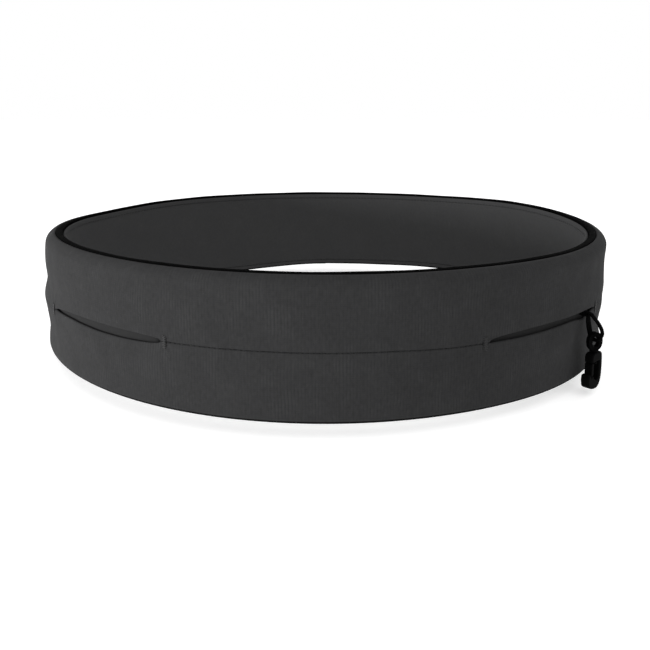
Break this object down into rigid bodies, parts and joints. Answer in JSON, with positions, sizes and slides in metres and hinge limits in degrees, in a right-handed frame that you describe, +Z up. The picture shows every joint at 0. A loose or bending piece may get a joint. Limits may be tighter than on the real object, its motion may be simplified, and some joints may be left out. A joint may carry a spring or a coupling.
{
  "type": "money belt",
  "caption": "Tubular stretch-knit waist belt with open pocket slits in its outer seam and a key snap hook hanging from a folded tape.",
  "frame": {"origin": "middle of the waist opening, level with the seam round the middle of the outer face", "axes": "+Z up along the waist, +X along the long width of the oval to the side with the key hook, -Y to the front of the belt"},
  "size_m": [0.3808, 0.3051, 0.0756],
  "materials": {
    "outer_knit": "fine vertical rib stretch knit, charcoal, dry and matt",
    "inner_knit": "fine stretch knit, darker charcoal, dry and matt",
    "edge_elastic": "narrow black woven elastic, matt",
    "thread": "near-black polyester sewing thread, slight sheen",
    "tape": "flat black woven tape, matt",
    "hook_plastic": "black moulded acetal, satin with soft edge highlights"
  },
  "bodies": {
    "belt": {"outer_panel_upper": "outer_knit", "outer_panel_lower": "outer_knit", "inner_panel": "inner_knit", "top_edge_band": "edge_elastic", "bottom_edge_band": "edge_elastic", "front_seam_thread": "thread", "back_seam_thread": "thread", "inner_hem_stitch_upper": "thread", "inner_hem_stitch_lower": "thread", "left_slit_inner_bartack": "thread", "left_slit_outer_bartack": "thread", "right_slit_inner_bartack": "thread", "right_slit_outer_bartack": "thread", "key_tape_root": "tape"},
    "tape": {"key_tape_loop": "tape"},
    "eye": {"hook_eye": "hook_plastic"},
    "hook": {"hook_body": "hook_plastic"},
    "gate": {"hook_gate": "hook_plastic"}
  },
  "joints": [
    {"name": "tape_swing", "type": "hinge", "parent": "belt", "child": "tape", "pos_m": [0.1444, -0.09748, 0], "axis": [-0.7071, -0.7071, 0], "range_deg": [0, 80]},
    {"name": "eye_swing", "type": "hinge", "parent": "tape", "child": "eye", "pos_m": [0.14671, -0.10371, -0.00919], "axis": [-0.9869, -0.1425, -0.0754], "range_deg": [0, 70]},
    {"name": "hook_swivel", "type": "hinge", "parent": "eye", "child": "hook", "pos_m": [0.1466, -0.1036, -0.008], "axis": [-0.0886, 0.0886, 0.9921], "continuous": true},
    {"name": "gate_press", "type": "hinge", "parent": "hook", "child": "gate", "pos_m": [0.14521, -0.10729, -0.02594], "axis": [0.5681, -0.8137, 0.1234], "range_deg": [0, 22], "stiffness_Nm_per_rad": 0.02, "springref_deg": -5.73}
  ]
}
